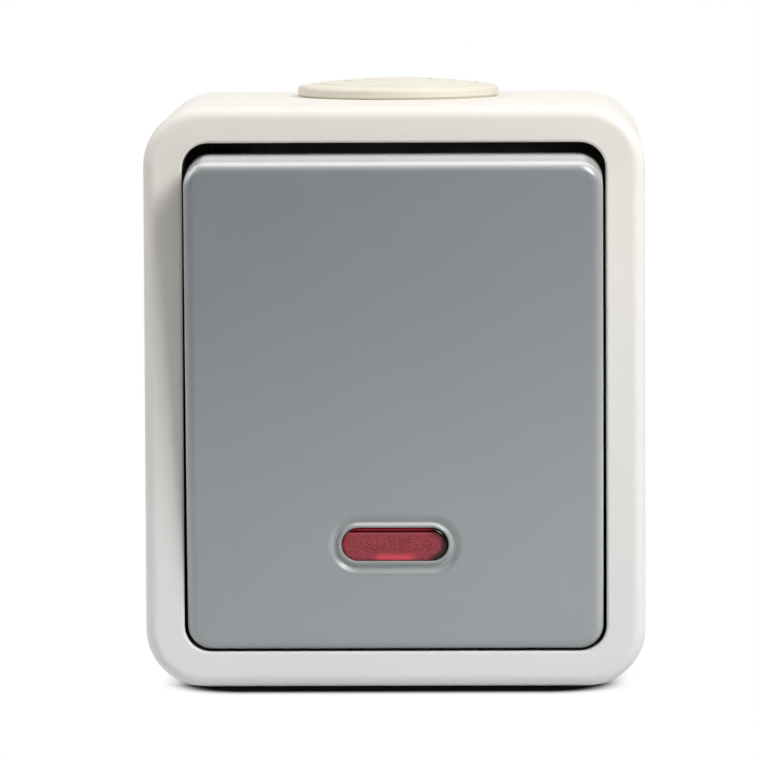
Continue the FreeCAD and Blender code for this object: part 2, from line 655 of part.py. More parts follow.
def make_cable_grommet():
    """A turned profile about the entry's axis, from the middle of the dome outwards and back."""
    grommet = new_body("cable_grommet")
    half = seen_from_side(grommet)

    def dome(radius):
        return f"(flange_height + dome_rise * (1 - ({radius})^2 / {FLANGE_RADIUS}^2))"

    profile = [("0", dome("0"))]
    for count in range(3):
        groove = f"(groove_first + {count} * groove_step)"
        before = f"{groove} - groove_half_width"
        after = f"{groove} + groove_half_width"
        profile.append((before, dome(before)))
        profile.append((groove, f"{dome(groove)} - groove_depth"))
        profile.append((after, dome(after)))
    neck = "entry_radius - grommet_fit"
    lip = "-(box_wall + grommet_fit)"
    end = "-(box_wall + skirt_height)"
    bore = "entry_radius - skirt_taper - skirt_wall"
    profile += [
        (FLANGE_RADIUS, "flange_height"),
        (FLANGE_RADIUS, "flange_foot"),
        (f"{FLANGE_RADIUS} - flange_foot", "0"),
        (neck, "0"),
        (neck, lip),
        ("entry_radius + lip_catch", lip),
        ("entry_radius + lip_catch", f"{lip} - lip_height"),
        ("entry_radius - skirt_taper", end),
        (bore, end),
        (bore, f"{dome(bore)} - membrane"),
        ("0", f"{dome('0')} - membrane"),
    ]
    polygon(half, profile)
    revolve(grommet, half, "V_Axis")
    rim = number(FLANGE_RADIUS) - TOUCH
    top = number("flange_height")
    soften(grommet, "Fillet", "flange_round", lambda box: box.XMax > rim and abs(box.ZMin - top) < TOUCH)
    place(grommet, height=ENTRY_HEIGHT, z="housing_height / 2")


# Screws


def make_screws(label, kind, seats):
    """Like screws with slotted heads, each standing on one of the seats given."""
    members = []
    for count, (x, height, z) in enumerate(seats, 1):
        screw = new_body(f"{label}_{count}", node=False)
        head = facing(screw)
        circle(head, f"{kind}_head_radius")
        pad(screw, head, f"{kind}_head_height")
        shank = facing(screw)
        circle(shank, f"{kind}_screw_radius")
        pad(screw, shank, f"{kind}_screw_length", flip=True)
        slot = facing(screw, f"{kind}_head_height")
        reach = f"{kind}_head_radius"
        rectangle(slot, f"-{reach}", reach, "-slot_width / 2", "slot_width / 2")
        pocket(screw, slot, "slot_depth")
        place(screw, x, height, z)
        members.append(screw)
    group(label, members)


def make_all_screws():
    sides = (-1, 1)
    cover = [(f"{s} * {COVER_SCREW_ACROSS}", WEB_FRONT, f"{-s} * {COVER_SCREW_UP}") for s in sides]
    ears = [(f"{s} * {INSERT_SCREW_ACROSS}", f"{INSERT_SEAT} + ear_thickness", "0") for s in sides]
    frame = [(f"{s} * {FRAME_SCREW_ACROSS}", PLATE_FRONT, "-frame_screw_down") for s in sides]
    terminals = [(f"{k} * {TERMINAL_PITCH}", CAGE_FRONT, TERMINAL_UP) for k in (-1, 0, 1)]
    make_screws("cover_screws", "cover", cover)
    make_screws("insert_screws", "insert", ears)
    make_screws("frame_screws", "frame", frame)
    make_screws("terminal_screws", "terminal", terminals)


# Switch insert


def make_insert_base():
    base = new_body("insert_base")
    block = facing(base, INSERT_SEAT)
    rounded(block, INSERT_WIDTH, INSERT_HEIGHT, "insert_corner")
    pad(base, block, f"{INSERT_FRONT} - {INSERT_SEAT}")
    ears = facing(base, INSERT_SEAT)
    pill(ears, f"2 * {INSERT_SCREW_ACROSS} + ear_width", "ear_width")
    pad(base, ears, "ear_thickness")
    chamber = facing(base, INSERT_FRONT)
    rounded(chamber, CHAMBER_WIDTH, CHAMBER_HEIGHT, "insert_corner")
    pocket(base, chamber, "chamber_depth")

    ear_holes = facing(base, f"{INSERT_SEAT} + ear_thickness")
    frame_holes = facing(base, INSERT_FRONT)
    for side in (-1, 1):
        circle(ear_holes, "insert_screw_radius + hole_play", f"{side} * {INSERT_SCREW_ACROSS}")
        across = f"{side} * {FRAME_SCREW_ACROSS}"
        circle(frame_holes, "frame_screw_radius + thread_fit", across, "-frame_screw_down")
    pocket(base, ear_holes, "ear_thickness")
    pocket(base, frame_holes, "frame_screw_length - plate_thickness + hole_play")

    wires = seen_from_above(base, f"{INSERT_HEIGHT} / 2")
    for k in (-1, 0, 1):
        circle(wires, "wire_radius + hole_play", f"{k} * {TERMINAL_PITCH}", f"-{WIRE_AXIS}")
    pocket(base, wires, "chamber_end_wall")


def make_bearing_frame():
    frame = new_body("bearing_frame")
    plate = facing(frame, INSERT_FRONT)
    rounded(plate, INSERT_WIDTH, PLATE_HEIGHT, "insert_corner", "0", PLATE_UP)
    pad(frame, plate, "plate_thickness")

    collar = facing(frame, PLATE_FRONT)
    inner_width = f"{COLLAR_WIDTH} - 2 * collar_wall"
    inner_height = f"{COLLAR_HEIGHT} - 2 * collar_wall"
    rounded(collar, COLLAR_WIDTH, COLLAR_HEIGHT, "window_corner + seal_lap", "0", WINDOW_UP)
    rounded(collar, inner_width, inner_height, "window_corner", "0", WINDOW_UP)
    pad(frame, collar, f"{WEB_BACK} - seal_thickness - {PLATE_FRONT}")

    for start in (CHEEK_INNER, f"-{CHEEK_OUTER}"):
        post = seen_from_side(frame, start)
        rectangle(post, f"-{PIVOT}", f"-{PLATE_FRONT}", "-cheek_radius", "cheek_radius")
        pad(frame, post, "cheek_thickness")
        head = seen_from_side(frame, start)
        circle(head, "cheek_radius", f"-{PIVOT}")
        pad(frame, head, "cheek_thickness")
    bearing = seen_from_side(frame)
    circle(bearing, "axle_radius + axle_fit", f"-{PIVOT}")
    pocket(frame, bearing, f"2 * {CHEEK_OUTER}", both_ways=True)

    slot = facing(frame, PLATE_FRONT)
    half_width = "(plunger_radius + plunger_slot_play)"
    half_length = "plunger_slot_length / 2"
    rectangle(slot, f"-{half_width}", half_width, f"-{half_length}", half_length)
    pocket(frame, slot, "plate_thickness")
    holes = facing(frame, PLATE_FRONT)
    for side in (-1, 1):
        across = f"{side} * {FRAME_SCREW_ACROSS}"
        circle(holes, "frame_screw_radius + hole_play", across, "-frame_screw_down")
        circle(holes, "lead_radius + lead_play", f"{side} * {TERMINAL_PITCH}", f"-{LENS_DOWN}")
    pocket(frame, holes, "plate_thickness")


def make_window_seal():
    seal = new_body("window_seal")
    ring = facing(seal, f"{WEB_BACK} - seal_thickness")
    rounded(ring, COLLAR_WIDTH, COLLAR_HEIGHT, "window_corner + seal_lap", "0", WINDOW_UP)
    rounded(ring, WINDOW_WIDTH, WINDOW_HEIGHT, "window_corner", "0", WINDOW_UP)
    pad(seal, ring, "seal_thickness")


# Contacts


def make_strip(label, outline):
    strip = new_body(label)
    flat = facing(strip, CHAMBER_FLOOR)
    polygon(flat, outline)
    pad(strip, flat, "strip_thickness")
    return strip


def make_contact_strips():
    half = "strip_width / 2"
    near = f"{TERMINAL_PITCH} - {half}"
    far = f"{TERMINAL_PITCH} + {half}"
    low = f"{CONTACT_REACH} - {half}"
    high = f"{CONTACT_REACH} + {half}"

    make_strip("fixed_contact_upper", [
        (f"-{half}", low),
        (half, low),
        (half, STRIP_END),
        (f"-{half}", STRIP_END),
    ])
    make_strip("fixed_contact_lower", [
        (f"-({far})", f"-{STRIP_TAIL}"),
        (f"-({near})", f"-{STRIP_TAIL}"),
        (f"-({near})", f"-({high})"),
        (half, f"-({high})"),
        (half, f"-({low})"),
        (f"-({near})", f"-({low})"),
        (f"-({near})", STRIP_END),
        (f"-({far})", STRIP_END),
    ])
    saddle = "saddle_height / 2"
    common = make_strip("common_contact", [
        ("-lever_width / 2", f"-{saddle}"),
        (near, f"-{saddle}"),
        (near, f"-{STRIP_TAIL}"),
        (far, f"-{STRIP_TAIL}"),
        (far, STRIP_END),
        (near, STRIP_END),
        (near, saddle),
        ("-lever_width / 2", saddle),
    ])
    seat = facing(common, CHAMBER_FLOOR)
    rectangle(seat, "-lever_width / 2", "lever_width / 2", f"-{saddle}", saddle)
    pad(common, seat, f"{LEVER_AXIS} - {CHAMBER_FLOOR}")
    groove = seen_from_side(common)
    circle(groove, "bead_radius + bead_fit", f"-{LEVER_AXIS}")
    pocket(common, groove, "2 * lever_width", both_ways=True)


def make_contact_pads():
    members = []
    for count, side in enumerate((1, -1), 1):
        rivet = new_body(f"contact_pads_{count}", node=False)
        face = facing(rivet)
        circle(face, "pad_radius")
        pad(rivet, face, "pad_height")
        place(rivet, height=STRIP_FRONT, z=f"{side} * {CONTACT_REACH}")
        members.append(rivet)
    group("contact_pads", members)


def make_terminal_cages():
    members = []
    half = "cage_size / 2"
    for count, k in enumerate((-1, 0, 1), 1):
        cage = new_body(f"terminal_cages_{count}", node=False)
        block = facing(cage)
        rectangle(block, f"-{half}", half, f"-{half}", half)
        pad(cage, block, "cage_height")
        wire = seen_from_above(cage)
        circle(wire, "wire_radius", "0", "-wire_above_strip")
        pocket(cage, wire, "2 * cage_size", both_ways=True)
        screw = facing(cage, "cage_height")
        circle(screw, "terminal_screw_radius + thread_fit")
        pocket(cage, screw, "cage_height - wire_above_strip")
        place(cage, f"{k} * {TERMINAL_PITCH}", STRIP_FRONT, TERMINAL_UP)
        members.append(cage)
    group("terminal_cages", members)


def make_contact_lever():
    """A V-shaped lever about its own axis, turned so that its upper arm lies flat."""
    lever = new_body("contact_lever")
    side = seen_from_side(lever)
    rise = f"{LEVER_ARM} * tan(lever_tilt)"
    front = "(lever_offset + lever_thickness)"
    polygon(side, [
        ("-lever_offset", "0"),
        (f"-(lever_offset + {rise})", LEVER_ARM),
        (f"-({front} + {rise})", LEVER_ARM),
        (f"-{front}", "0"),
        (f"-({front} + {rise})", f"-{LEVER_ARM}"),
        (f"-(lever_offset + {rise})", f"-{LEVER_ARM}"),
    ])
    pad(lever, side, "lever_width", both_ways=True)
    bead = seen_from_side(lever)
    circle(bead, "bead_radius")
    pad(lever, bead, "lever_width", both_ways=True)
    place(lever, height=LEVER_AXIS, tilt="-lever_tilt")

    members = []
    for count, (arm, tilt) in enumerate(((1, "0"), (-1, "-2 * lever_tilt")), 1):
        tip = new_body(f"moving_contact_tips_{count}", node=False)
        face = facing(tip, "lever_offset * cos(lever_tilt)")
        circle(face, "pad_radius", "0", f"{arm} * {CONTACT_REACH}")
        pad(tip, face, "pad_height", flip=True)
        place(tip, height=LEVER_AXIS, tilt=tilt)
        members.append(tip)
    group("moving_contact_tips", members)


# Rocker, drawn level about the axle and then tilted


def tilt_with_rocker(piece):
    place(piece, height=PIVOT, tilt="rocker_tilt")


def make_rocker():
    rocker = new_body("rocker")
    outside = facing(rocker, ROCKER_BACK)
    rounded(outside, ROCKER_WIDTH, ROCKER_HEIGHT, "rocker_corner")
    pad(rocker, outside, "rocker_depth")
    soften(rocker, "Fillet", "rocker_round", level(FACE))

    hollow = facing(rocker, ROCKER_BACK)
    inner_width = f"{ROCKER_WIDTH} - 2 * rocker_wall"
    inner_height = f"{ROCKER_HEIGHT} - 2 * rocker_wall"
    rounded(hollow, inner_width, inner_height, "rocker_corner - rocker_wall")
    pocket(rocker, hollow, "rocker_depth - rocker_skin", flip=True)

    ribs = facing(rocker, FACE_BACK)
    seats = facing(rocker, FACE_BACK)
    rib_half = f"{ROCKER_HEIGHT} / 2 - rocker_wall - rib_gap"
    for side in (-1, 1):
        for sketch, offset, reach in (
            (ribs, f"({ROCKER_WIDTH} / 2 - rib_inset)", rib_half),
            (seats, f"({HUB_HALF} - seat_rib_inset)", PLATE_HALF),
        ):
            left = f"{side} * {offset} - rib_thickness / 2"
            right = f"{side} * {offset} + rib_thickness / 2"
            rectangle(sketch, left, right, f"-({reach})", reach)
    pad(rocker, ribs, "rib_height", flip=True)
    pad(rocker, seats, f"{FACE_BACK} - {PLATE_SEAT}", flip=True)

    inner = f"({PLATE_HALF} + leg_play)"
    hook = "(actuator_above - leg_play)"
    for side in (1, -1):
        leg = seen_from_side(rocker)
        polygon(leg, [
            (f"-{FACE_BACK}", f"{side} * {inner}"),
            (f"-{hook}", f"{side} * {inner}"),
            (f"-{hook}", f"{side} * ({inner} - hook_catch)"),
            (f"-({hook} - hook_height)", f"{side} * {inner}"),
            (f"-({hook} - hook_height)", f"{side} * ({inner} + leg_thickness)"),
            (f"-{FACE_BACK}", f"{side} * ({inner} + leg_thickness)"),
        ])
        pad(rocker, leg, "leg_width", both_ways=True)

    make_lens_surround(rocker)
    tilt_with_rocker(rocker)


def make_lens_surround(rocker):
    """A shallow hollow in the face, with a rim in its middle and the lens's window through the rim."""

    def outline(height, reach):
        sketch = facing(rocker, height)
        lens_outline(sketch, reach)
        return sketch

    def edge_at(reach):
        grow = f"2 * {reach}"
        return level_within(FACE, f"lens_length + {grow}", f"lens_width + {grow}", f"-{LENS_DOWN}")

    floor = f"{FACE} - hollow_depth"
    taper(rocker, "Subtractive", outline(FACE, "hollow_reach"), outline(floor, "hollow_reach - hollow_slope"))
    soften(rocker, "Fillet", "hollow_round", edge_at("hollow_reach"))
    taper(rocker, "Additive", outline(floor, "rim_foot"), outline(FACE, "rim_crest"))
    soften(rocker, "Fillet", "rim_round", edge_at("rim_crest"))
    pocket(rocker, outline(FACE, "0"), "rocker_skin")
    soften(rocker, "Fillet", "window_round", edge_at("0"))


def make_indicator_lens():
    lens = new_body("indicator_lens")
    face = facing(lens, FACE_BACK)
    lens_outline(face, "-lens_fit")
    pad(lens, face, "rocker_skin + lens_proud")
    soften(lens, "Fillet", "lens_edge", level(f"{FACE} + lens_proud"))
    flange = facing(lens, FACE_BACK)
    lens_outline(flange, "lens_flange_lip")
    pad(lens, flange, "lens_flange", flip=True)
    tilt_with_rocker(lens)


def make_actuator():
    actuator = new_body("actuator")
    plate = facing(actuator, "actuator_above")
    rectangle(plate, f"-{HUB_HALF}", HUB_HALF, f"-{PLATE_HALF}", PLATE_HALF)
    pad(actuator, plate, "actuator_plate")
    hub = facing(actuator, "actuator_above")
    rectangle(hub, f"-{HUB_HALF}", HUB_HALF, "-hub_half_height", "hub_half_height")
    pad(actuator, hub, "actuator_above + hub_below", flip=True)
    axle = seen_from_side(actuator)
    circle(axle, "axle_radius")
    pad(actuator, axle, f"2 * ({CHEEK_OUTER} - side_play)", both_ways=True)
    barrel = facing(actuator)
    circle(barrel, f"{BORE_RADIUS} + barrel_wall")
    pad(actuator, barrel, BARREL_BELOW, flip=True)
    bore = facing(actuator, "bore_above")
    circle(bore, BORE_RADIUS)
    pocket(actuator, bore, f"bore_above + {BARREL_BELOW}")
    tilt_with_rocker(actuator)


def make_plunger():
    """A pin with a round tip, turned about the barrel's axis."""
    plunger = new_body("plunger")
    shank = facing(plunger, f"-{PLUNGER_BACK}")
    circle(shank, "plunger_radius")
    pad(plunger, shank, f"{TIP_CENTRE} + plunger_radius - {PLUNGER_BACK}", flip=True)
    soften(plunger, "Fillet", "plunger_radius - tip_flat", level(f"-({TIP_CENTRE} + plunger_radius)"))
    tilt_with_rocker(plunger)


def make_plunger_spring():
    """A coil between the plunger and the end of the bore."""
    spring = new_body("plunger_spring")
    wire = seen_from_side(spring)
    start = f"({PLUNGER_BACK} - spring_wire - spring_play)"
    circle(wire, "spring_wire", start, "spring_radius")
    coil = spring.newObject("PartDesign::AdditiveHelix", "plunger_spring_coil")
    coil.Profile = wire
    coil.ReferenceAxis = (wire, ["H_Axis"])
    coil.Mode = "height-turns-angle"
    coil.setExpression("Height", refer(f"{start} + bore_above - spring_wire - spring_play"))
    coil.setExpression("Turns", refer("spring_turns"))
    coil.Reversed = True
    tilt_with_rocker(spring)


# Pilot lamp


def make_lamp_holder():
    holder = new_body("lamp_holder")
    half = "(lamp_length / 2 - lamp_overhang)"
    low = f"-{LENS_DOWN} - holder_thickness / 2"
    high = f"-{LENS_DOWN} + holder_thickness / 2"
    post = facing(holder, PLATE_FRONT)
    rectangle(post, f"-{half}", half, low, high)
    pad(holder, post, f"{LAMP_AXIS} - {PLATE_FRONT}")
    seat = seen_from_side(holder)
    circle(seat, "lamp_radius + lamp_seat_fit", f"-{LAMP_AXIS}", f"-{LENS_DOWN}")
    pocket(holder, seat, "lamp_length", both_ways=True)


def make_neon_lamp():
    lamp = new_body("neon_lamp")
    glass = seen_from_side(lamp)
    circle(glass, "lamp_radius", f"-{LAMP_AXIS}", f"-{LENS_DOWN}")
    pad(lamp, glass, "lamp_length", both_ways=True)
    half = number("lamp_length") / 2 - TOUCH
    soften(lamp, "Fillet", "lamp_end_round", lambda box: box.XMin > half or box.XMax < -half)


def make_lamp_leads():
    """Each lead leaves an end of the lamp, turns and runs straight back to its strip."""
    members = []
    bend_height = f"({LAMP_AXIS} - lead_bend)"
    for count, side in enumerate((-1, 1), 1):
        lead = new_body(f"lamp_leads_{count}", node=False)
        across = f"{side} * {TERMINAL_PITCH}"
        straight = facing(lead, STRIP_FRONT)
        circle(straight, "lead_radius", across, f"-{LENS_DOWN}")
        pad(lead, straight, f"{bend_height} - {STRIP_FRONT}")

        bend = facing(lead, bend_height)
        circle(bend, "lead_radius", across, f"-{LENS_DOWN}")
        centre = f"{side} * ({TERMINAL_PITCH} - lead_bend)"
        ends = (f"-{LENS_DOWN}", f"-{LENS_DOWN} + lead_bend")
        corners = [point(number(centre), number(end)) for end in ends]
        axis = bend.addGeometry(Part.LineSegment(*corners), True)
        for end, up in enumerate(ends, 1):
            locate(bend, axis, end, centre, up)
        revolve(lead, bend, "Axis0", 90, flip=side > 0)

        outward = seen_from_side(lead, f"{side} * lamp_length / 2")
        circle(outward, "lead_radius", f"-{LAMP_AXIS}", f"-{LENS_DOWN}")
        pad(lead, outward, f"{TERMINAL_PITCH} - lead_bend - lamp_length / 2", flip=side < 0)
        members.append(lead)
    group("lamp_leads", members)


def make_lamp_resistor():
    resistor = new_body("lamp_resistor")
    tube = facing(resistor, f"{PLATE_FRONT} + resistor_above")
    circle(tube, "resistor_radius", TERMINAL_PITCH, f"-{LENS_DOWN}")
    circle(tube, "lead_radius + resistor_fit", TERMINAL_PITCH, f"-{LENS_DOWN}")
    pad(resistor, tube, "resistor_length")


def check_and_write():
    doc.recompute()
    for item in doc.Objects:
        bad = {"Invalid", "Error"} & set(item.State)
        if bad:
            raise RuntimeError(f"{item.Label} failed: {item.State}")
    for node in nodes:
        if node.Shape.isNull() or not node.Shape.isValid() or not node.Shape.Solids:
            raise RuntimeError(f"{node.Label} has no valid solid")
    os.makedirs("parts", exist_ok=True)
    for node in nodes:
        node.Shape.exportStep(f"parts/{node.Label}.step")


make_back_box()
make_front_cover()
make_cover_gasket()
make_cable_grommet()
make_all_screws()
make_insert_base()
make_bearing_frame()
make_window_seal()
make_contact_strips()
make_contact_pads()
make_terminal_cages()
make_contact_lever()
make_rocker()
make_indicator_lens()
make_actuator()
make_plunger()
make_plunger_spring()
make_lamp_holder()
make_neon_lamp()
make_lamp_leads()
make_lamp_resistor()
check_and_write()
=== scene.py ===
import json
import math

import bpy
from mathutils import Euler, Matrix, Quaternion, Vector


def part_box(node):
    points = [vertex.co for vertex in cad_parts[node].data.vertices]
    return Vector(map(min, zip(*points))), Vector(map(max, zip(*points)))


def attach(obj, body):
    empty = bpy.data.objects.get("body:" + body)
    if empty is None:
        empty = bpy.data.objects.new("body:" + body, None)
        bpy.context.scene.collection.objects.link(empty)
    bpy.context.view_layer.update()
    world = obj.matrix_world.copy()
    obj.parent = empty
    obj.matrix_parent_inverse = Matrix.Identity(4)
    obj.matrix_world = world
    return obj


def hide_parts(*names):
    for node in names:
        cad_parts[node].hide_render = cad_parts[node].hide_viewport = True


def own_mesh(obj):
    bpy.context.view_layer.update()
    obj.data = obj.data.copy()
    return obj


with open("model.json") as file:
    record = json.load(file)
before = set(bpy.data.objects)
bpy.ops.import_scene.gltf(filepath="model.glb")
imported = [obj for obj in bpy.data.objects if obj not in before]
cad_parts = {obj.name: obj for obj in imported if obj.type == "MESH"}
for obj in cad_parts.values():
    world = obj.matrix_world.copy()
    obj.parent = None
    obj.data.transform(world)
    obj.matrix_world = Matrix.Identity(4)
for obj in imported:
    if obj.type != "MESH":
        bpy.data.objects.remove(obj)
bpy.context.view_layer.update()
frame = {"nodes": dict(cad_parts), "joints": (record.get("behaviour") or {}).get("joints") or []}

# The dressed weatherproof switch. Metres; X right, Z up, -Y out of the wall.

MM = 0.001
# The front face of the frame, and the floor that the switch stands on
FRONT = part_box("front_cover")[0].y
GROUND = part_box("back_box")[0].z


# Node helpers


def rgba(colour):
    return (*colour, 1.0)


class Nodes:
    """A node tree, with short calls that add nodes to it. Each input is a socket or a plain value."""

    def __init__(self, tree):
        self.tree = tree

    def give(self, socket, value):
        if isinstance(value, bpy.types.NodeSocket):
            self.tree.links.new(value, socket)
        else:
            socket.default_value = value

    def fill(self, node, inputs):
        """Set inputs by their names, in which an underscore stands for a space."""
        for key, value in inputs.items():
            self.give(node.inputs[key.replace("_", " ")], value)

    def node(self, kind, **inputs):
        node = self.tree.nodes.new("ShaderNode" + kind)
        self.fill(node, inputs)
        return node

    def math(self, operation, a, b=0.0):
        node = self.node("Math")
        node.operation = operation
        self.give(node.inputs[0], a)
        self.give(node.inputs[1], b)
        return node.outputs["Value"]

    def product(self, first, *others):
        for other in others:
            first = self.math("MULTIPLY", first, other)
        return first

    def greatest(self, first, *others):
        for other in others:
            first = self.math("MAXIMUM", first, other)
        return first

    def vector(self, operation, a, b=(0.0, 0.0, 0.0), output="Vector"):
        node = self.node("VectorMath")
        node.operation = operation
        self.give(node.inputs[0], a)
        self.give(node.inputs[1], b)
        return node.outputs[output]

    def spread(self, value, low, high, bottom=0.0, top=1.0, soft=False):
        """Map values from low to high on to bottom to top, in a straight line or a soft curve."""
        node = self.node("MapRange", Value=value, From_Min=low, From_Max=high, To_Min=bottom, To_Max=top)
        if soft:
            node.interpolation_type = "SMOOTHSTEP"
        return node.outputs["Result"]

    def mix(self, factor, a, b):
        """A colour between two colours, each a socket or red, green and blue."""
        node = self.node("Mix")
        node.data_type = "RGBA"
        self.give(node.inputs["Factor"], factor)
        for key, colour in (("A", a), ("B", b)):
            self.give(node.inputs[key], rgba(colour) if isinstance(colour, tuple) else colour)
        return node.outputs["Result"]


CREVICE_RAYS = 6
CREVICE_DEEP = 0.18
CREVICE_OPEN = 0.46


class Shader(Nodes):
    """A material with one Principled BSDF."""

    def __init__(self, name):
        self.material = bpy.data.materials.new(name)
        self.material.use_nodes = True
        super().__init__(self.material.node_tree)
        self.bsdf = self.tree.nodes["Principled BSDF"]
        where = self.node("TexCoord").outputs
        self.place = where["Object"]
        self.normal = where["Normal"]

    def set(self, **inputs):
        self.fill(self.bsdf, inputs)

    def axis(self, name):
        """One coordinate of the point that is shaded, in metres."""
        return self.node("SeparateXYZ", Vector=self.place).outputs[name]

    def facing(self, name):
        """How far the surface faces along one axis, from -1 to 1."""
        return self.node("SeparateXYZ", Vector=self.normal).outputs[name]

    def noise(self, size, detail=2.0, place=None):
        """Soft noise with features of about the size given, in metres."""
        where = self.place if place is None else place
        return self.node("TexNoise", Vector=where, Scale=1 / size, Detail=detail).outputs["Fac"]

    def patches(self, noise, reach, bottom=0.0, top=1.0):
        """Noise within this reach of its middle, stretched to run from bottom to top."""
        return self.spread(noise, 0.5 - reach, 0.5 + reach, bottom, top)

    def specks(self, cell, radius, share):
        """Sparse round dots, 1 on a dot and 0 elsewhere: one in some of the cells."""
        node = self.node("TexVoronoi", Vector=self.place, Scale=1 / cell)
        dot = self.math("LESS_THAN", node.outputs["Distance"], radius / cell)
        split = self.node("SeparateColor", Color=node.outputs["Color"])
        chosen = self.math("LESS_THAN", split.outputs["Red"], share)
        return self.product(dot, chosen)

    def crevice(self, reach):
        """1 deep in a narrow gap, 0 on an open face."""
        node = self.node("AmbientOcclusion", Distance=reach)
        node.samples = CREVICE_RAYS
        return self.spread(node.outputs["AO"], CREVICE_DEEP, CREVICE_OPEN, 1.0, 0.0)

    def bump(self, height, depth, strength=1.0):
        node = self.node("Bump", Height=height, Distance=depth, Strength=strength)
        self.set(Normal=node.outputs["Normal"])


# Plastics and rubber

NO_TINT = (1.0, 1.0, 1.0)
NO_SHINE = (0.0, 0.0, 0.0)
MOTTLE_SIZE = 14 * MM
GLOSS_PATCH = 3 * MM
GLOSS_CHANGE = 0.03

# Slopes over how far a face looks up, aside or out: from, to, and the value at each of the two
# The first two slopes carry dust and painted light, the next two a painted highlight on the rocker's upper
# edge, and the last painted shade in the gap round the rocker.
DUST_AND_LIGHT_ABOVE = (0.15, 0.80, 0.0, 0.42)
DUST_AND_LIGHT_BESIDE = (0.30, 0.90, 0.0, 0.25)
EDGE_HIGHLIGHT_ABOVE = (0.55, 0.80, 0.0, 0.85)
EDGE_HIGHLIGHT_OUTSIDE = (-0.12, -0.25, 0.0, 1.0)
LEDGE_ROUGHNESS = (0.90, 0.98, 0.0, 0.95)
POLISH = (0.85, 0.95, 0.35, 0.0)
GAP_SHADE_BELOW = (0.30, 0.80, 1.0, 0.0)
# Places between which an effect goes from none to full
BACK_OF_LEDGE = (FRONT - 4.5 * MM, FRONT - 1.5 * MM)
BEHIND_FRONT = (FRONT + 0.4 * MM, FRONT + 1.2 * MM)
OFF_GROUND = (GROUND + 4.15 * MM, GROUND + 5.75 * MM)

POLISH_ROUGHNESS = 0.18
# The pale colour at the back of the rocker's ledge: dust and painted light
BACK_DUST_AND_LIGHT = (0.88, 0.88, 0.84)
# How far round the gap the painted shade looks for nearby faces
GAP_SHADE_REACH = 12 * MM


def painted_warm_light(shader, tint, colour):
    """Yellower towards the top, with an uneven border: painted warm light from above."""
    patch = 25 * MM
    unevenness = 12 * MM
    start = -24 * MM
    full = 40 * MM
    shift = shader.product(shader.noise(patch), unevenness)
    height = shader.math("ADD", shader.axis("Z"), shift)
    return shader.mix(shader.spread(height, start, full), tint, colour)


def painted_lower_right_light(shader, tint, colour):
    """Paler towards the lower right: a painted reflection of the pale floor."""
    slant = 0.65
    start = -37 * MM
    full = 38 * MM
    down = shader.math("SUBTRACT", shader.product(shader.axis("X"), slant), shader.axis("Z"))
    return shader.mix(shader.spread(down, start, full), tint, colour)


def dust_and_painted_light(shader, tint, gloss, colour):
    """Dust and painted light on the faces that look up or aside, palest far back on the rocker's ledge,
    where the paleness is painted light.

    The rocker's upper edge carries a painted highlight, the ledge is matt and the other faces have a light
    polish.
    """
    up = shader.facing("Z")
    aside = shader.math("ABSOLUTE", shader.facing("X"))
    # The pale upper front edge of the rocker is a painted highlight.
    edge_highlight = shader.product(shader.spread(up, *EDGE_HIGHLIGHT_ABOVE), shader.spread(shader.facing("Y"), *EDGE_HIGHLIGHT_OUTSIDE))
    dust_and_light_share = shader.greatest(shader.spread(up, *DUST_AND_LIGHT_ABOVE), shader.spread(aside, *DUST_AND_LIGHT_BESIDE), edge_highlight)
    # Paler at the back of the ledge: painted light where the frame shades it.
    dust = shader.mix(shader.spread(shader.axis("Y"), *BACK_OF_LEDGE), colour, BACK_DUST_AND_LIGHT)
    shader.set(Coat_Weight=shader.spread(up, *POLISH), Coat_Roughness=POLISH_ROUGHNESS)
    return shader.mix(dust_and_light_share, tint, dust), shader.greatest(gloss, shader.spread(up, *LEDGE_ROUGHNESS))


def specked(shader, tint, colour):
    """A few small specks."""
    cell = 9 * MM
    radius = 0.07 * MM
    share = 0.25
    strength = 0.3
    return shader.mix(shader.product(shader.specks(cell, radius, share), strength), tint, colour)


def painted_gap_shade(shader, tint, gloss, colour):
    """Painted shade in the narrow gap round the rocker: dark, matt and without shine, except on the faces
    that look up.
    """
    deep = shader.product(
        shader.crevice(GAP_SHADE_REACH),
        shader.spread(shader.axis("Z"), *OFF_GROUND),
        shader.spread(shader.axis("Y"), *BEHIND_FRONT),
        shader.spread(shader.facing("Z"), *GAP_SHADE_BELOW),
    )
    shader.set(Specular_Tint=shader.mix(deep, NO_TINT, NO_SHINE))
    return shader.mix(deep, tint, colour), shader.greatest(gloss, deep)


def moulded(name, colour, shade, roughness, grain, depth, specks=None, warm_light=None, lower_right_light=None, gap_shade=None,
            dust_and_light=None):
    """Moulded plastic or rubber: faint mottling, uneven gloss and a fine skin.

    Each further colour adds one effect: specks, painted warm light towards the top, painted light towards
    the lower right, painted shade in the gap round the rocker, and dust with painted light and a painted
    highlight.
    """
    shader = Shader(name)
    tint = shader.mix(shader.patches(shader.noise(MOTTLE_SIZE, detail=3.0), reach=0.2), colour, shade)
    uneven = shader.noise(GLOSS_PATCH, detail=4.0)
    gloss = shader.patches(uneven, reach=0.25, bottom=roughness - GLOSS_CHANGE, top=roughness + GLOSS_CHANGE)
    if warm_light is not None:
        tint = painted_warm_light(shader, tint, warm_light)
    if lower_right_light is not None:
        tint = painted_lower_right_light(shader, tint, lower_right_light)
    if dust_and_light is not None:
        tint, gloss = dust_and_painted_light(shader, tint, gloss, dust_and_light)
    if specks is not None:
        tint = specked(shader, tint, specks)
    if gap_shade is not None:
        tint, gloss = painted_gap_shade(shader, tint, gloss, gap_shade)
    shader.set(Base_Color=tint, Roughness=gloss)
    shader.bump(shader.noise(grain), depth)
    return shader


# Metals, lens and glass

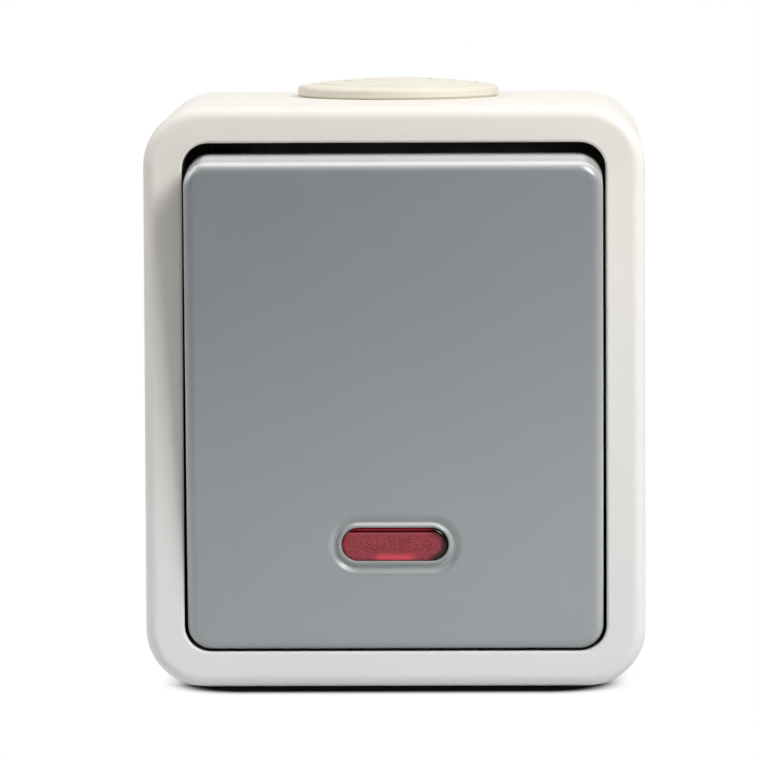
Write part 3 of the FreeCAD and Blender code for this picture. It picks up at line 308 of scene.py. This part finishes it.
MARK_SIZE = 0.15 * MM
MARK_DEPTH = 0.004 * MM
MARK_STRETCH = (1.0, 1.0, 0.08)
STAIN_SIZE = 2 * MM


def metal(name, colour, shade, roughness):
    """Plated or stamped metal with faint drawn marks."""
    smoother = 0.06
    rougher = 0.08
    shader = Shader(name)
    stretched = shader.node("Mapping", Vector=shader.place, Scale=MARK_STRETCH).outputs["Vector"]
    marks = shader.noise(MARK_SIZE, detail=3.0, place=stretched)
    tint = shader.mix(shader.noise(STAIN_SIZE, detail=3.0), colour, shade)
    gloss = shader.patches(marks, reach=0.2, bottom=roughness - smoother, top=roughness + rougher)
    shader.set(Base_Color=tint, Metallic=1.0, Roughness=gloss)
    shader.bump(marks, MARK_DEPTH)
    return shader


LENS_GRAIN = 0.24 * MM
LENS_GRAIN_DEPTH = 0.006 * MM
LENS_CLOUD = 1.6 * MM
# The face lies a little lower than the flange behind it, because the rocker leans out.
LENS_FACE_DROP = 0.255 * MM
# The centre of the round right end, from the middle of the lens
LENS_END = 4.6 * MM

# The last five colours are painted light and shade: a glow low in the middle, a light line and a dark edge
# and rim along the top, and a dark crescent at the right end.
LENS_DEEP = (0.23, 0.020, 0.030)
LENS_CLEAR = (0.28, 0.028, 0.042)
LENS_SPARKLE = (0.36, 0.060, 0.078)
LENS_GATHERED = (0.68, 0.060, 0.085)
LENS_LINE = (0.40, 0.06, 0.08)
LENS_EDGE = (0.02, 0.0, 0.0)
LENS_RIM = (0.20, 0.004, 0.014)
LENS_CRESCENT = (0.004, 0.0, 0.0)

# Slopes: from, to, and the value at each of the two. The sparkle runs over the cells of the grain,
# and the others over distances from the middle of the lens or of its round end.
SPARKLE = (0.15, 0.60, 1.0, 0.0)
GATHERED_ACROSS = (1.6 * MM, 3.2 * MM, 1.0, 0.0)
GATHERED_BELOW = (-0.8 * MM, -1.75 * MM, 0.0, 1.0)
LINE_ABOVE = (1.30 * MM, 1.40 * MM, 0.0, 0.6)
EDGE_ABOVE = (1.56 * MM, 1.62 * MM, 0.0, 1.0)
RIM_ABOVE = (1.80 * MM, 1.86 * MM, 0.0, 1.0)
CRESCENT_ROUND_END = (1.0 * MM, 1.95 * MM, 0.0, 1.0)
CRESCENT_ACROSS = (3.8 * MM, 5.4 * MM, 0.0, 1.0)


def lens_material():
    """Clear red plastic over a grained inner face.

    The colour itself shows what light from the upper right does in it: the round edge is dark along
    the top and at the right end, and a bright patch gathers low in the middle.
    """
    shader = Shader("red_lens")
    low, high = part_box("indicator_lens")
    middle = (low.z + high.z) / 2 - LENS_FACE_DROP
    x = shader.axis("X")
    z = shader.math("SUBTRACT", shader.axis("Z"), middle)

    grain = shader.node("TexVoronoi", Vector=shader.place, Scale=1 / LENS_GRAIN).outputs["Distance"]
    cloud = shader.patches(shader.noise(LENS_CLOUD, detail=3.0), reach=0.15)
    tint = shader.mix(cloud, LENS_DEEP, LENS_CLEAR)
    tint = shader.mix(shader.spread(grain, *SPARKLE), tint, LENS_SPARKLE)

    across = shader.spread(shader.math("ABSOLUTE", x), *GATHERED_ACROSS, soft=True)
    below = shader.spread(z, *GATHERED_BELOW, soft=True)
    tint = shader.mix(shader.product(across, below), tint, LENS_GATHERED)

    tint = shader.mix(shader.spread(z, *LINE_ABOVE), tint, LENS_LINE)
    edge = shader.mix(shader.spread(z, *RIM_ABOVE), LENS_EDGE, LENS_RIM)
    tint = shader.mix(shader.spread(z, *EDGE_ABOVE), tint, edge)

    past_end = shader.greatest(shader.math("SUBTRACT", x, LENS_END), 0.0)
    square = shader.math("ADD", shader.product(past_end, past_end), shader.product(z, z))
    round_end = shader.spread(shader.math("SQRT", square), *CRESCENT_ROUND_END, soft=True)
    right = shader.spread(x, *CRESCENT_ACROSS, soft=True)
    tint = shader.mix(shader.product(round_end, right), tint, LENS_CRESCENT)

    shader.set(Base_Color=tint, Roughness=0.14, Specular_IOR_Level=0.3)
    shader.bump(grain, LENS_GRAIN_DEPTH, strength=0.3)
    return shader


def glass_material():
    """Clear glass with a faint haze."""
    haze_size = 1.2 * MM
    clearest = 0.03
    haziest = 0.12
    shader = Shader("lamp_glass")
    haze = shader.patches(shader.noise(haze_size, detail=3.0), reach=0.2, bottom=clearest, top=haziest)
    shader.set(Base_Color=rgba((0.95, 0.90, 0.86)), Roughness=haze, Transmission_Weight=1.0, IOR=1.5)
    return shader


# The materials and the CAD nodes that wear them. The plastics and rubbers give a name, a colour, the
# shade of the mottling, a roughness, and the size and depth of the grain. The metals give a name, a
# colour, the shade of the stains and a roughness.

WHITE = moulded(
    "white_plastic", (0.775, 0.775, 0.765), (0.76, 0.762, 0.755), 0.50, 0.35 * MM, 0.002 * MM,
    # The yellow is painted warm light towards the top, and the near black is painted shade in the gap round
    # the rocker.
    specks=(0.5, 0.47, 0.42), warm_light=(0.79, 0.755, 0.70), gap_shade=(0.004, 0.004, 0.004),
)
WHITE.set(Specular_IOR_Level=0.4)
GREY = moulded(
    "grey_plastic", (0.246, 0.263, 0.272), (0.240, 0.254, 0.263), 0.33, 0.25 * MM, 0.001 * MM,
    # The paler grey is painted light towards the lower right; the pale grey is dust with painted light and a
    # painted highlight on the upper edge.
    specks=(0.45, 0.45, 0.43), lower_right_light=(0.310, 0.331, 0.342), dust_and_light=(0.66, 0.665, 0.63),
)
GREY.set(Specular_IOR_Level=0.9)
IVORY = moulded("ivory_rubber", (0.735, 0.695, 0.595), (0.715, 0.675, 0.575), 0.55, 0.3 * MM, 0.004 * MM)
RUBBER = moulded("dark_rubber", (0.03, 0.03, 0.032), (0.02, 0.02, 0.02), 0.6, 0.3 * MM, 0.005 * MM)
INSERT = moulded("insert_plastic", (0.62, 0.60, 0.55), (0.58, 0.565, 0.52), 0.5, 0.3 * MM, 0.003 * MM)
ACTUATOR = moulded("actuator_plastic", (0.70, 0.69, 0.66), (0.67, 0.66, 0.63), 0.42, 0.3 * MM, 0.003 * MM)
CERAMIC = moulded("resistor_ceramic", (0.42, 0.30, 0.17), (0.38, 0.27, 0.15), 0.5, 0.2 * MM, 0.004 * MM)
STEEL = metal("steel", (0.58, 0.57, 0.54), (0.48, 0.47, 0.46), 0.3)
SPRING = metal("spring_steel", (0.50, 0.50, 0.50), (0.40, 0.40, 0.41), 0.25)
BRASS = metal("brass", (0.72, 0.50, 0.20), (0.62, 0.42, 0.16), 0.28)
SILVER = metal("contact_metal", (0.78, 0.77, 0.74), (0.68, 0.67, 0.65), 0.22)
TINNED = metal("lead_wire", (0.66, 0.65, 0.62), (0.56, 0.55, 0.53), 0.25)
LENS = lens_material()
GLASS = glass_material()

DRESS = {
    WHITE: ("front_cover", "back_box"),
    GREY: ("rocker",),
    IVORY: ("cable_grommet",),
    LENS: ("indicator_lens",),
    RUBBER: ("cover_gasket", "window_seal"),
    INSERT: ("insert_base", "bearing_frame", "lamp_holder"),
    ACTUATOR: ("actuator", "plunger"),
    CERAMIC: ("lamp_resistor",),
    STEEL: ("cover_screws", "insert_screws", "frame_screws", "terminal_screws"),
    SPRING: ("plunger_spring",),
    BRASS: (
        "contact_lever", "common_contact", "fixed_contact_upper", "fixed_contact_lower", "terminal_cages",
    ),
    SILVER: ("contact_pads", "moving_contact_tips"),
    GLASS: ("neon_lamp",),
    TINNED: ("lamp_leads",),
}
for shader, names in DRESS.items():
    for name in names:
        slots = frame["nodes"][name].data.materials
        slots.clear()
        slots.append(shader.material)


# The plunger's spring, drawn as a coil in place of the CAD one

SPRING_LENGTH = 6.9 * MM
SPRING_RADIUS = 1.2 * MM
WIRE_RADIUS = 0.2 * MM
SPRING_TURNS = 5
# How far beyond the axle the seat is
SPRING_SEAT = 1.5 * MM
STEPS_IN_TURN = 40
STEPS_ROUND_WIRE = 12


def joint(name):
    return next(row for row in frame["joints"] if row["name"] == name)


def add_object(name, data):
    thing = bpy.data.objects.new(name, data)
    bpy.context.scene.collection.objects.link(thing)
    return thing


def add_spring():
    """A coil round the plunger's line, with its far end on the seat in the bore beyond the axle."""
    along = Vector(joint("plunger_slide")["axis"]).normalized()
    across = Vector((1.0, 0.0, 0.0))
    up = along.cross(across)
    seat = Vector(joint("rocker_tilt")["pos_m"]) + along * SPRING_SEAT
    steps = SPRING_TURNS * STEPS_IN_TURN
    rise = (SPRING_LENGTH - 2 * WIRE_RADIUS) / steps
    points = []
    for step in range(steps + 1):
        angle = 2 * math.pi * step / STEPS_IN_TURN
        outward = up * math.cos(angle) - across * math.sin(angle)
        middle = seat - along * (WIRE_RADIUS + rise * step) + outward * SPRING_RADIUS
        for corner in range(STEPS_ROUND_WIRE):
            turn = 2 * math.pi * corner / STEPS_ROUND_WIRE
            points.append(middle + (outward * math.cos(turn) + along * math.sin(turn)) * WIRE_RADIUS)
    faces = []
    for step in range(steps):
        ring = step * STEPS_ROUND_WIRE
        for corner in range(STEPS_ROUND_WIRE):
            after = (corner + 1) % STEPS_ROUND_WIRE
            faces.append((ring + corner, ring + STEPS_ROUND_WIRE + corner,
                          ring + STEPS_ROUND_WIRE + after, ring + after))
    last = steps * STEPS_ROUND_WIRE
    ends = [tuple(range(STEPS_ROUND_WIRE)), tuple(reversed(range(last, last + STEPS_ROUND_WIRE)))]
    mesh = bpy.data.meshes.new("plunger_coil")
    mesh.from_pydata(points, [], faces + ends)
    mesh.materials.append(SPRING.material)
    for face in list(mesh.polygons)[:-len(ends)]:
        face.use_smooth = True
    coil = add_object("plunger_coil", mesh)
    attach(coil, "rocker")
    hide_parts("plunger_spring")
    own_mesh(coil)


add_spring()


# Stage

FLOOR_REACH = 6.0
FLOOR_COLOUR = (0.73, 0.73, 0.73)
FLOOR_ROUGHNESS = 0.9
# The painted contact shadow, a dark line on the floor seen only by the camera, lies under the front, between
# the round corners.
PAINTED_CONTACT_SHADOW = (0.004, 0.004, 0.004)
CONTACT_FROM_SIDE = 13.0 * MM
CONTACT_FROM_FRONT = 1.6 * MM
CONTACT_FROM_BACK = 8.0 * MM
# Distances round the line of contact over which the floor changes
PAINTED_SHADOW_FADE = (5.5 * MM, 11.2 * MM)
SHADOW_FADE = (6.5 * MM, 11.7 * MM)
GLOSSY_FADE = (80 * MM, 220 * MM)
GLOSSY_LOSS = 0.9

WORLD_LEVEL = 0.02
# How far a direction points away from the viewer, over which reflections go from dark to white
WORLD_FADE = (-0.6, 0.0)

# name, place, size, watts
LAMPS = (
    ("key", (0.330, -0.330, 0.378), 0.30, 3.38),
    ("top", (0.000, -0.120, 0.750), 0.45, 1.40),
    ("rear", (0.000, 0.300, 0.650), 0.50, 0.20),
    ("left", (-0.620, 0.000, 0.400), 0.50, 2.90),
)
LAMP_AIM = Vector((0.0, -0.03, 0.0))

# Fitted to the photograph: sizes in its pixels, sensor in millimetres, angles in degrees
IMAGE_SIZE = 760
FOCAL_LENGTH = 8038.3
SENSOR = 36.0
CAMERA_PLACE = (0.02081, -1.08917, 0.08150)
CAMERA_DOWN = 4.357
CAMERA_LEFT = 1.2504
CAMERA_ROLL = -0.2684
NEAREST = 0.01


def ray_kinds(nodes):
    """1 for rays that come straight from the camera or through glass, and 1 for rays off a gloss."""
    path = nodes.node("LightPath").outputs
    straight = nodes.greatest(path["Is Camera Ray"], path["Is Transmission Ray"])
    return straight, path["Is Glossy Ray"]


def distance_outside(nodes, low, high):
    """How far a point lies outside the upright box between the two corners, seen from above."""
    level = (1.0, 1.0, 0.0)
    place = nodes.node("NewGeometry").outputs["Position"]
    shifted = nodes.vector("SUBTRACT", place, (low + high) / 2)
    folded = nodes.vector("ABSOLUTE", shifted)
    beyond = nodes.vector("SUBTRACT", folded, (high - low) / 2)
    clipped = nodes.vector("MAXIMUM", beyond)
    flat = nodes.vector("MULTIPLY", clipped, level)
    return nodes.vector("LENGTH", flat, output="Value")


def floor_material():
    """Pale and matt in the shadow of the switch, and plain white round it.

    The camera sees a painted contact shadow, a dark line round where the switch stands. Reflections see a
    white floor that dims far off.
    """
    low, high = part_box("back_box")
    low.y = FRONT
    touch_low = low + Vector((CONTACT_FROM_SIDE, CONTACT_FROM_FRONT, 0.0))
    touch_high = high - Vector((CONTACT_FROM_SIDE, CONTACT_FROM_BACK, 0.0))
    shader = Shader("floor")
    straight, glossy = ray_kinds(shader)
    outside = distance_outside(shader, touch_low, touch_high)

    # Near the switch, the camera sees the painted contact shadow.
    not_straight = shader.math("SUBTRACT", 1.0, straight)
    pale = shader.greatest(shader.spread(outside, *PAINTED_SHADOW_FADE, soft=True), not_straight)
    colour = shader.mix(pale, PAINTED_CONTACT_SHADOW, FLOOR_COLOUR)
    shader.set(Base_Color=colour, Roughness=FLOOR_ROUGHNESS, Specular_IOR_Level=0.0)

    loss = shader.product(shader.spread(outside, *GLOSSY_FADE, soft=True), GLOSSY_LOSS)
    strength = shader.math("SUBTRACT", 1.0, shader.product(glossy, loss))
    white = shader.node("Emission", Strength=strength)

    clear = shader.product(straight, shader.spread(outside, *SHADOW_FADE, soft=True))
    blend = shader.node("MixShader", Fac=shader.greatest(clear, glossy))
    shader.give(blend.inputs[1], shader.bsdf.outputs["BSDF"])
    shader.give(blend.inputs[2], white.outputs["Emission"])
    shader.give(shader.tree.nodes["Material Output"].inputs["Surface"], blend.outputs["Shader"])
    return shader.material


def add_floor():
    corners = [(x * FLOOR_REACH, y * FLOOR_REACH, GROUND) for x, y in ((-1, -1), (1, -1), (1, 1), (-1, 1))]
    mesh = bpy.data.meshes.new("floor")
    mesh.from_pydata(corners, [], [(0, 1, 2, 3)])
    mesh.materials.append(floor_material())
    floor = add_object("floor", mesh)


def add_world():
    """Even light from all round, and white where the camera or a reflection looks past the floor.

    A reflection of the side in front of the switch, where the room is unlit, is dark.
    """
    world = bpy.data.worlds.new("studio")
    bpy.context.scene.world = world
    world.use_nodes = True
    nodes = Nodes(world.node_tree)
    straight, glossy = ray_kinds(nodes)
    direction = nodes.node("TexCoord").outputs["Generated"]
    away = nodes.node("SeparateXYZ", Vector=direction).outputs["Y"]
    behind = nodes.spread(away, *WORLD_FADE, soft=True)
    seen = nodes.greatest(straight, nodes.product(glossy, behind))
    level = nodes.math("ADD", WORLD_LEVEL, nodes.product(seen, 1.0 - WORLD_LEVEL))
    background = nodes.tree.nodes["Background"]
    nodes.fill(background, {"Color": rgba(NO_TINT), "Strength": level})


def add_lamps():
    for name, place, size, watts in LAMPS:
        light = bpy.data.lights.new(name, "AREA")
        light.shape = "SQUARE"
        light.size = size
        light.energy = watts
        lamp = add_object(name, light)
        lamp.location = place
        lamp.rotation_euler = (LAMP_AIM - lamp.location).to_track_quat("-Z", "Y").to_euler()


def add_camera():
    data = bpy.data.cameras.new("camera")
    data.sensor_width = SENSOR
    data.lens = FOCAL_LENGTH / IMAGE_SIZE * SENSOR
    data.clip_start = NEAREST
    camera = add_object("camera", data)
    camera.location = CAMERA_PLACE
    turn = Euler((math.radians(90 - CAMERA_DOWN), 0.0, math.radians(CAMERA_LEFT))).to_quaternion()
    roll = Quaternion((0.0, 0.0, 1.0), math.radians(CAMERA_ROLL))
    camera.rotation_mode = "QUATERNION"
    camera.rotation_quaternion = turn @ roll
    bpy.context.scene.camera = camera


add_floor()
add_world()
add_lamps()
add_camera()
bpy.context.scene.view_settings.view_transform = "Standard"
